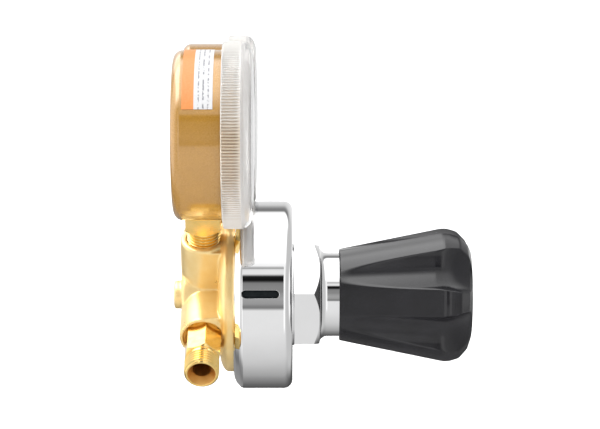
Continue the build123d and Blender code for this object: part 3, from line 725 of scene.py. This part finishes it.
# ------------------------------------------------------------------ gauges
def dial_marks(side, m):
    """Printed scale: 270 degrees of ticks and plain numbers on the dial's face, in the gauge's own frame."""
    objs = []
    full, step = (10, 2) if side == "outlet" else (300, 50)
    x = 22.6 + 0.02
    verts, faces = [], []

    def quad(r0, r1, a, w):
        c, s = math.cos(a), math.sin(a)
        k = len(verts)
        for r, t in ((r0, -w), (r0, w), (r1, w), (r1, -w)):
            verts.append((x, r * c - t * s, r * s + t * c))
        faces.append((k, k + 1, k + 2, k + 3))

    n = int(full / step) * 10
    for i in range(n + 1):
        a = math.radians(225 - 270 * i / n)
        major, half = i % 10 == 0, i % 5 == 0
        quad(22.2 if major else (23.4 if half else 24.4), 26.2, a, 0.32 if major else (0.17 if half else 0.09))
    # scale arc
    segs = 180
    for i in range(segs):
        a0, a1 = math.radians(225 - 270 * i / segs), math.radians(225 - 270 * (i + 1) / segs)
        k = len(verts)
        for r, a in ((26.2, a0), (26.6, a0), (26.6, a1), (26.2, a1)):
            verts.append((x, r * math.cos(a), r * math.sin(a)))
        faces.append((k, k + 1, k + 2, k + 3))
    o = mesh_object(f"{side}_dial_ticks", verts, faces, False)
    objs.append(o)
    for i in range(int(full / step) + 1):
        a = math.radians(225 - 270 * i / int(full / step))
        cu = bpy.data.curves.new(f"{side}_num{i}", "FONT")
        cu.body = str(i * step)
        cu.size = 4.6 * MM
        cu.align_x = "CENTER"
        cu.align_y = "CENTER"
        cu.resolution_u = 6
        t = bpy.data.objects.new(f"{side}_num{i}", cu)
        bpy.context.collection.objects.link(t)
        dg = bpy.context.evaluated_depsgraph_get()
        me = bpy.data.meshes.new_from_object(t.evaluated_get(dg))
        bpy.data.objects.remove(t)
        # text x -> +Y, text y -> +Z, facing +X
        me.transform(Matrix(((0, 0, 1, x * MM), (1, 0, 0, 18.2 * math.cos(a) * MM), (0, 1, 0, 18.2 * math.sin(a) * MM), (0, 0, 0, 1))))
        q = bpy.data.objects.new(f"{side}_numeral{i}", me)
        bpy.context.collection.objects.link(q)
        objs.append(q)
    for o in objs:
        o.data.materials.clear()
        o.data.materials.append(M["ink"])
    o = join(f"{side}_gauge_scale", objs)
    transform(o, m)
    return o


def build_lens(side, m):
    """Clear screw-on lens: ribbed grip band, bevelled rim, thin front."""
    n_rib, sub = 188, 6
    cols = n_rib * sub
    th = np.linspace(0, 2 * math.pi, cols, endpoint=False)
    outer = rounded([(LENS_X0, CASE_R + 0.12, 0), (LENS_X0, LENS_R - 0.45, 0.25), (LENS_X0 + 0.45, LENS_R, 0.25), (27.2, LENS_R, 0.3), (28.6, 34.45, 1.2), (30.2, 32.9, 2.0), (31.1, 30.6, 1.5), (LENS_X1 + 0.05, 28.4, 0.6),
                     (LENS_X1 + 0.5, 15.0, 0), (LENS_X1 + 0.62, 6.0, 0), (LENS_X1 + 0.65, 0.0, 0)], steps=8)
    outer = split_long(outer, 1.0)
    xs = np.array([p[0] for p in outer]); rs = np.array([p[1] for p in outer])
    R = np.repeat(rs[:, None], cols, 1)
    wave = 0.5 - 0.5 * np.cos(th * n_rib)
    wave = wave ** 0.8
    band = np.clip((xs - 20.45) / 0.3, 0, 1) * np.clip((27.35 - xs) / 0.5, 0, 1)
    band = np.where(rs > 33.5, band, 0)
    R = R - (0.42 * band)[:, None] * (1 - wave)[None, :]
    v, f = polar("l", xs, th, R)
    inner = rounded([(LENS_X0, CASE_R + 0.12, 0), (25.9, CASE_R + 0.12, 0.1), (25.9, 29.9, 0.1), (28.4, 29.7, 0.3), (LENS_X1 - 2.2, 28.4, 0.4), (LENS_X1 + 0.5 - 2.2, 15.0, 0), (LENS_X1 + 0.65 - 2.2, 0.0, 0)], steps=6)
    xi = np.array([p[0] for p in inner]); ri = np.array([p[1] for p in inner])
    Ri = np.repeat(ri[:, None], cols, 1)
    v2, f2 = polar("l", xi, th, Ri)
    k = len(v)
    f2 = [tuple(k + a for a in q[::-1]) for q in f2]
    o = mesh_object(f"{side}_gauge_lens_visual", np.concatenate([v, v2]), f + f2)
    # groove depth per point; the ribbed material darkens the grooves by it as painted shade
    groove = np.concatenate([(band[:, None] * (1 - wave)[None, :]).reshape(-1), np.zeros(len(v2))])
    att = o.data.attributes.new("groove", "FLOAT", "POINT")
    att.data.foreach_set("value", groove.astype(np.float32))
    tidy(o)
    dress(o, "clear_plastic")
    o.data.materials.append(M["ribbed_plastic"])
    o.data.materials.append(M["window_plastic"])
    for p in o.data.polygons:
        c = p.center / MM
        r = math.hypot(c.y, c.z)
        if r > 33.6 and c.x < 27.4:
            p.material_index = 1
        elif r < 27.6:
            p.material_index = 2
    transform(o, m)
    return piece(o, None, "regulator", f"{side}_gauge_lens")


def build_case(side, m):
    o = lathe(f"{side}_gauge_case_visual", split_long(rounded([(CASE_X0, 0, 0), (CASE_X0, CASE_R, 3.5), (CASE_X1 - 0.4, CASE_R, 0), (CASE_X1 - 0.15, CASE_R, 0), (CASE_X1, CASE_R - 0.1, 0.08), (CASE_X1, CASE_R - 0.65, 0.05),
                                                               (CASE_X1 - 0.1, CASE_R - 0.7, 0), (CASE_X0 + 0.7, CASE_R - 0.7, 2.8), (CASE_X0 + 0.7, 0, 0)], steps=16), 1.5), 288)
    transform(o, m)
    return piece(o, "gold_paint", "regulator", f"{side}_gauge_case")


def build_socket(side, m):
    cols = 288
    th = np.linspace(0, 2 * math.pi, cols, endpoint=False)
    # in the socket's own frame: z along the stem, from the case outwards (downwards)
    sq_z = np.unique(np.concatenate([np.linspace(-41.75, -40.0, 30), np.linspace(-40.0, -34.0, 12), np.linspace(-34.0, -32.2, 24)]))
    Z, T = np.meshgrid(sq_z, th, indexing="ij")
    r = square_radius(T, 13.2, 0.0, 0.25)
    r = smin(r, 6.75 + (Z + 41.75) * 1.1, 0.15)
    r = smin(r, 7.1 + (-32.2 - Z) * 1.2, 0.15)
    rows = []
    top = ring_rows([(-29.5, 6.4), (-31.8, 6.4), (-32.15, 6.42)], cols)
    rows.append(top)
    rows.append((sq_z[::-1], r[::-1]))
    rows.append(ring_rows([(-41.8, 6.55), (-41.85, 6.2), (-42.1, 6.05)], cols))
    zs, _, tr = threaded(0, 13.9, 6.6, 1.41, 0.95, taper=0.02, cols=cols, chamfer1=1.0, runout=0.5)
    rows.append((-42.1 - zs, tr))
    rows.append(ring_rows([(-56.02, 5.2), (-56.02, 1.4), (-50, 1.4)], cols))
    o = stack_skin(f"{side}_stem", rows)
    o.data.transform(Matrix.Translation((PORT_X * MM, 0, 0)))
    # block inside the case
    x0, x1 = 2.6, 17.0
    import bmesh
    bm = bmesh.new()
    bmesh.ops.create_cube(bm, size=1)
    for vv in bm.verts:
        vv.co = Vector(((x0 + 1.4 + (x1 - x0 - 1.4) * (vv.co.x + 0.5)) * MM, 13.0 * vv.co.y * MM, (-24.3 + 11.4 * vv.co.z) * MM))
    bmesh.ops.bevel(bm, geom=bm.edges[:], offset=0.4 * MM, segments=2, affect="EDGES")
    me = bpy.data.meshes.new("blk"); bm.to_mesh(me); bm.free()
    blk = bpy.data.objects.new("blk", me); bpy.context.collection.objects.link(blk)
    o = join(f"{side}_gauge_socket_visual", [o, blk])
    transform(o, m)
    return piece(o, "machined_brass", "regulator", f"{side}_gauge_socket")


for side in ("outlet", "inlet"):
    gm = gauge_m(side)
    build_case(side, gm)
    build_lens(side, gm)
    build_socket(side, gm)
    # the dial scale stands upright, whatever the splay
    sc_m = gm @ rot_x(-SPLAY[side])
    s = dial_marks(side, sc_m)
    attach(s, "regulator")


# ------------------------------------------------------------------ unions
def build_union(side):
    cols = 288
    th = np.linspace(0, 2 * math.pi, cols, endpoint=False)
    hz = np.unique(np.concatenate([np.linspace(25.7, 26.4, 8), np.linspace(26.4, 37.6, 12), np.linspace(37.6, 39.55, 50)]))
    Z, T = np.meshgrid(hz, th, indexing="ij")
    hr = hex_radius(T, 12.7, math.radians(80), 0.10)
    hr = smin(hr, 7.36 - np.maximum(0, (Z - 38.6)) * 1.1 + 0 * Z, 0.10)
    hr = smin(hr, 6.45 + (39.55 - Z) * 1.05, 0.10)
    rows = [ring_rows([(17.4, 3.45), (17.4, 6.3), (17.7, 6.6), (25.6, 6.6)], cols), (hz, hr)]
    rows.append(ring_rows(rounded([(39.55, 6.35, 0), (39.6, 5.9, 0.2), (40.9, 5.75, 0.25), (41.0, 6.0, 0)]), cols))
    zs, _, tr = threaded(41.0, 48.7, 6.58, 1.337, 0.80, cols=cols, chamfer1=0.75, chamfer0=0.5, per=20)
    rows.append((zs, tr))
    mouth = split_long(rounded([(48.7, 5.75, 0), (48.7, 5.30, 0.12), (45.5, 3.45, 0.15), (38.0, 3.45, 0)], steps=6), 1.0)
    rows.append(ring_rows(mouth, cols))
    if side == "outlet":
        rows.append(ring_rows([(17.4, 3.45)], cols))
    else:
        rows.append(ring_rows([(37.9, 3.1), (30.0, 3.1), (30.0, 2.2), (17.4, 2.2), (17.4, 3.45)], cols))
    o = stack_skin(f"{side}_union_visual", rows)
    dress(o, "machined_brass")
    o.data.materials.append(M["bore_brass"])
    for p in o.data.polygons:
        c = p.center / MM
        if math.hypot(c.x, c.y) < 5.2 and c.z < 48.66:
            p.material_index = 1
    transform(o, port_m(UNION[side]))
    return piece(o, None, "regulator", f"{side}_union")


for side in ("outlet", "inlet"):
    build_union(side)


# ------------------------------------------------------------------ forged body
def build_body():
    src = bpy.data.objects.get(frame["nodes"]["body"].name) if hasattr(frame["nodes"]["body"], "name") else bpy.data.objects["body"]
    me = src.data.copy()
    o = bpy.data.objects.new("body_visual", me)
    bpy.context.collection.objects.link(o)
    o.data.transform(src.matrix_world)
    o.data.materials.clear()
    bpy.context.view_layer.objects.active = o
    bpy.ops.object.select_all(action="DESELECT")
    o.select_set(True)
    rm = o.modifiers.new("r", "REMESH")
    rm.mode = "VOXEL"
    rm.voxel_size = 0.28 * MM
    rm.adaptivity = 0.0
    sm = o.modifiers.new("s", "SMOOTH")
    sm.factor = 0.5
    sm.iterations = 14
    bpy.ops.object.modifier_apply(modifier="r")
    bpy.ops.object.modifier_apply(modifier="s")
    o.data.polygons.foreach_set("use_smooth", [True] * len(o.data.polygons))
    return piece(o, "forged_brass", "regulator", "body")


build_body()


# ------------------------------------------------------------------ springs, carried over from the CAD as they are; they do not shorten
def build_spring(name):
    src = frame["nodes"][name]
    o = bpy.data.objects.new(f"{name}_visual", src.data.copy())
    bpy.context.collection.objects.link(o)
    o.data.transform(src.matrix_world)
    o.data.materials.clear()
    piece(o, "spring_steel", "regulator", name)
    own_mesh(o)


build_spring("adjusting_spring")
build_spring("valve_spring")

# ------------------------------------------------------------------ carried-over CAD nodes
slots = {s["node"]: s["material_slot"] for s in frame["record"]["subparts"]}
alias = {"machined_brass": "inner_brass"}
for name, slot_name in slots.items():
    o = frame["nodes"][name]
    o = o if hasattr(o, "data") else bpy.data.objects[name]
    mat = alias.get(slot_name, slot_name)
    o.data.materials.clear()
    o.data.materials.append(M[mat] if mat in M else M["inner_brass"])

# ------------------------------------------------------------------ floor, light, camera
fm, nt, b = new_mat("floor")
b.inputs["Base Color"].default_value = (0.93, 0.93, 0.93, 1)
b.inputs["Roughness"].default_value = 0.9
floor = mesh_object("floor", [(-60000, -60000, -260), (60000, -60000, -260), (60000, 60000, -260), (-60000, 60000, -260)], [(0, 1, 2, 3)], False)
floor.data.materials.append(fm)
floor.visible_glossy = False
floor.visible_transmission = True

world = bpy.data.worlds.new("studio")
bpy.context.scene.world = world
world.use_nodes = True
wn = world.node_tree
bg = wn.nodes["Background"]
tc = node(wn, "ShaderNodeTexCoord")
sp = node(wn, "ShaderNodeSeparateXYZ")
wn.links.new(tc.outputs["Generated"], sp.inputs["Vector"])


def wmath(op, a, b=None, c=None):
    n = node(wn, "ShaderNodeMath", operation=op)
    for i, v in enumerate((a, b, c)):
        if v is None:
            continue
        if hasattr(v, "is_output"):
            wn.links.new(v, n.inputs[i])
        else:
            n.inputs[i].default_value = v
    return n.outputs[0]


# angle about X from the camera side (-Y) over the top: 0 = towards -Y, 90 = up, 180 = behind, -90 = down
ang = wmath("ARCTAN2", sp.outputs["Z"], wmath("MULTIPLY", sp.outputs["Y"], -1.0))
deg = wmath("MULTIPLY", ang, 180 / math.pi)
fac = wmath("DIVIDE", wmath("ADD", deg, 180.0), 360.0)


def env(stops):
    """stops: (degrees, grey)"""
    r = node(wn, "ShaderNodeValToRGB")
    el = r.color_ramp.elements
    while len(el) < len(stops):
        el.new(0.5)
    for e, (d, g) in zip(el, stops):
        e.position = (d + 180) / 360
        e.color = (g, g, g, 1)
    wn.links.new(fac, r.inputs["Fac"])
    return r.outputs["Color"]


room = env([(-179.9, 0.95), (-173.0, 0.90), (-171.0, 0.12), (-158, 0.080), (-139, 0.145), (-127, 0.23), (-118, 0.31), (-110, 0.42), (-97, 0.53),
            (-86, 0.64), (-76, 0.71), (-66, 0.76), (-53, 0.83), (-40, 0.88), (0, 0.90), (30, 1.0), (45, 1.1), (55, 1.7), (65, 2.0), (121, 2.1),
            (127, 1.15), (129.5, 0.98), (131.5, 0.35), (134, 0.215), (137, 0.235), (140, 0.28), (143, 0.37), (146.5, 0.50), (150, 0.65),
            (154.5, 0.74), (160, 0.78), (179.9, 0.92)])
# what stands to the left of the camera: a brighter, harder top light over a dark lower wall
left = env([(-179.9, 0.95), (-172.0, 0.90), (-168.0, 0.30), (-150, 0.30), (-120, 0.22), (-95, 0.30), (-76, 0.75), (-60, 0.95), (-40, 0.70),
            (-15, 0.75), (15, 0.70), (30, 0.50), (42, 0.60), (50, 1.8), (60, 5.0), (108, 5.0), (120, 2.8), (146, 2.3), (153, 1.1), (160, 0.8), (179.9, 0.92)])
card = env([(-12.5, 0.85), (-11.0, 0.70), (-9.9, 0.40), (-9.0, 0.22), (-6.5, 0.25), (-4.0, 0.36), (2, 0.41), (8, 0.34), (11, 0.28), (17, 0.27), (21.5, 0.23),
            (23.4, 0.03), (25, 0.006), (29.5, 0.015), (30.8, 0.30), (31.9, 0.86), (35, 0.92), (38.6, 0.84), (39.5, 0.30), (40.4, 0.28),
            (41.2, 0.84), (43.0, 1.0)])
yz = wmath("MAXIMUM", wmath("SQRT", wmath("ADD", wmath("MULTIPLY", sp.outputs["Y"], sp.outputs["Y"]), wmath("MULTIPLY", sp.outputs["Z"], sp.outputs["Z"]))), 1e-4)
slope = wmath("DIVIDE", sp.outputs["X"], yz)
az = wmath("ABSOLUTE", slope)


def ease(value, a, b, lo=0.0, hi=1.0):
    r = node(wn, "ShaderNodeMapRange", interpolation_type="SMOOTHSTEP")
    r.inputs["From Min"].default_value = a
    r.inputs["From Max"].default_value = b
    r.inputs["To Min"].default_value = lo
    r.inputs["To Max"].default_value = hi
    wn.links.new(value, r.inputs["Value"])
    return r.outputs["Result"]


def over(fac, a, b):
    m = node(wn, "ShaderNodeMix", data_type="RGBA")
    wn.links.new(fac, m.inputs[0])
    wn.links.new(a, m.inputs[6])
    if isinstance(b, float):
        m.inputs[7].default_value = (b, b, b, 1)
    else:
        wn.links.new(b, m.inputs[7])
    return m.outputs[2]


neg = wmath("MULTIPLY", slope, -1.0)
look = over(wmath("MULTIPLY", ease(neg, 0.07, 0.16), ease(neg, 0.7, 1.0, 1.0, 0.0)), room, left)
# a narrow brighter panel beside the card, level with the camera
panel = wmath("MULTIPLY", wmath("MULTIPLY", ease(az, 0.14, 0.17), ease(az, 0.24, 0.32, 1.0, 0.0)), wmath("MULTIPLY", ease(deg, -45, -30), ease(deg, 22, 40, 1.0, 0.0)))
look = over(panel, look, 1.6)
# the card: narrow, only near the camera's own direction
inside = wmath("LESS_THAN", az, 0.155)
msk = wmath("MULTIPLY", inside, wmath("MULTIPLY", wmath("GREATER_THAN", deg, -12.0), wmath("LESS_THAN", deg, 42.8)))
look = over(msk, look, card)
# far to either side: a bright wall to the left, a dimmer one to the right and a light beyond it
look = over(ease(neg, 1.0, 2.4), look, 1.5)
look = over(ease(slope, 0.35, 0.9), look, 0.62)
look = over(ease(slope, 2.2, 4.5), look, 1.15)
wn.links.new(look, bg.inputs["Color"])
bg.inputs["Strength"].default_value = 1.0

cam_d = bpy.data.cameras.new("camera")
cam = bpy.data.objects.new("camera", cam_d)
bpy.context.collection.objects.link(cam)
cam_d.sensor_fit = "HORIZONTAL"
cam_d.sensor_width = 36
cam_d.lens = 2429 * 36 / 600
cam_d.clip_start = 0.01
cam_d.clip_end = 200
T = Vector((0.0487, 0, 0.0312))
el = math.radians(5.83)
cam.location = T + 0.94 * Vector((0, -math.cos(el), math.sin(el)))
cam.rotation_euler = (T - cam.location).to_track_quat("-Z", "Y").to_euler()
bpy.context.scene.camera = cam
bpy.context.scene.view_settings.view_transform = "Standard"
